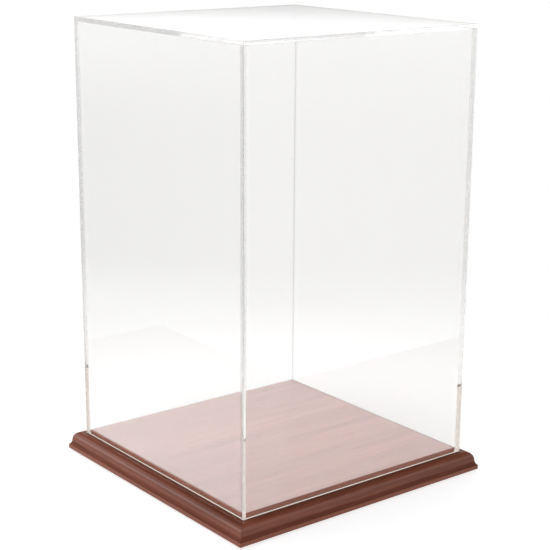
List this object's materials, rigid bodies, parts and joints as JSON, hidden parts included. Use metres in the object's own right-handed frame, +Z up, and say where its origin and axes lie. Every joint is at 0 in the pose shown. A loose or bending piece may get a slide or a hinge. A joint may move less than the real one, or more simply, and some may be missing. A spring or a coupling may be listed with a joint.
{
  "type": "acrylic display case",
  "caption": "Tall clear acrylic lift-off cover on a moulded, lacquered wooden base with a raised platform, for showing a small object.",
  "frame": {"origin": "centre of the footprint, on the surface that the pads stand on", "axes": "+Z up, the way the cover lifts off; +X right and -Y front, square to the sides of the case"},
  "size_m": [0.264, 0.264, 0.3935],
  "materials": {
    "acrylic": "clear, polished",
    "platform_wood": "high-gloss lacquer",
    "rail_wood": "high-gloss lacquer",
    "felt": "matt felt"
  },
  "bodies": {
    "base": {"platform_board": "platform_wood", "front_rail": "rail_wood", "back_rail": "rail_wood", "left_rail": "rail_wood", "right_rail": "rail_wood", "front_left_pad": "felt", "front_right_pad": "felt", "back_left_pad": "felt", "back_right_pad": "felt"},
    "cover": {"top_panel": "acrylic", "front_panel": "acrylic", "back_panel": "acrylic", "left_panel": "acrylic", "right_panel": "acrylic"}
  },
  "joints": [
    {"name": "cover_lift", "type": "slide", "parent": "base", "child": "cover", "axis": [0, 0, 1], "range_m": [0, 0.38]}
  ]
}
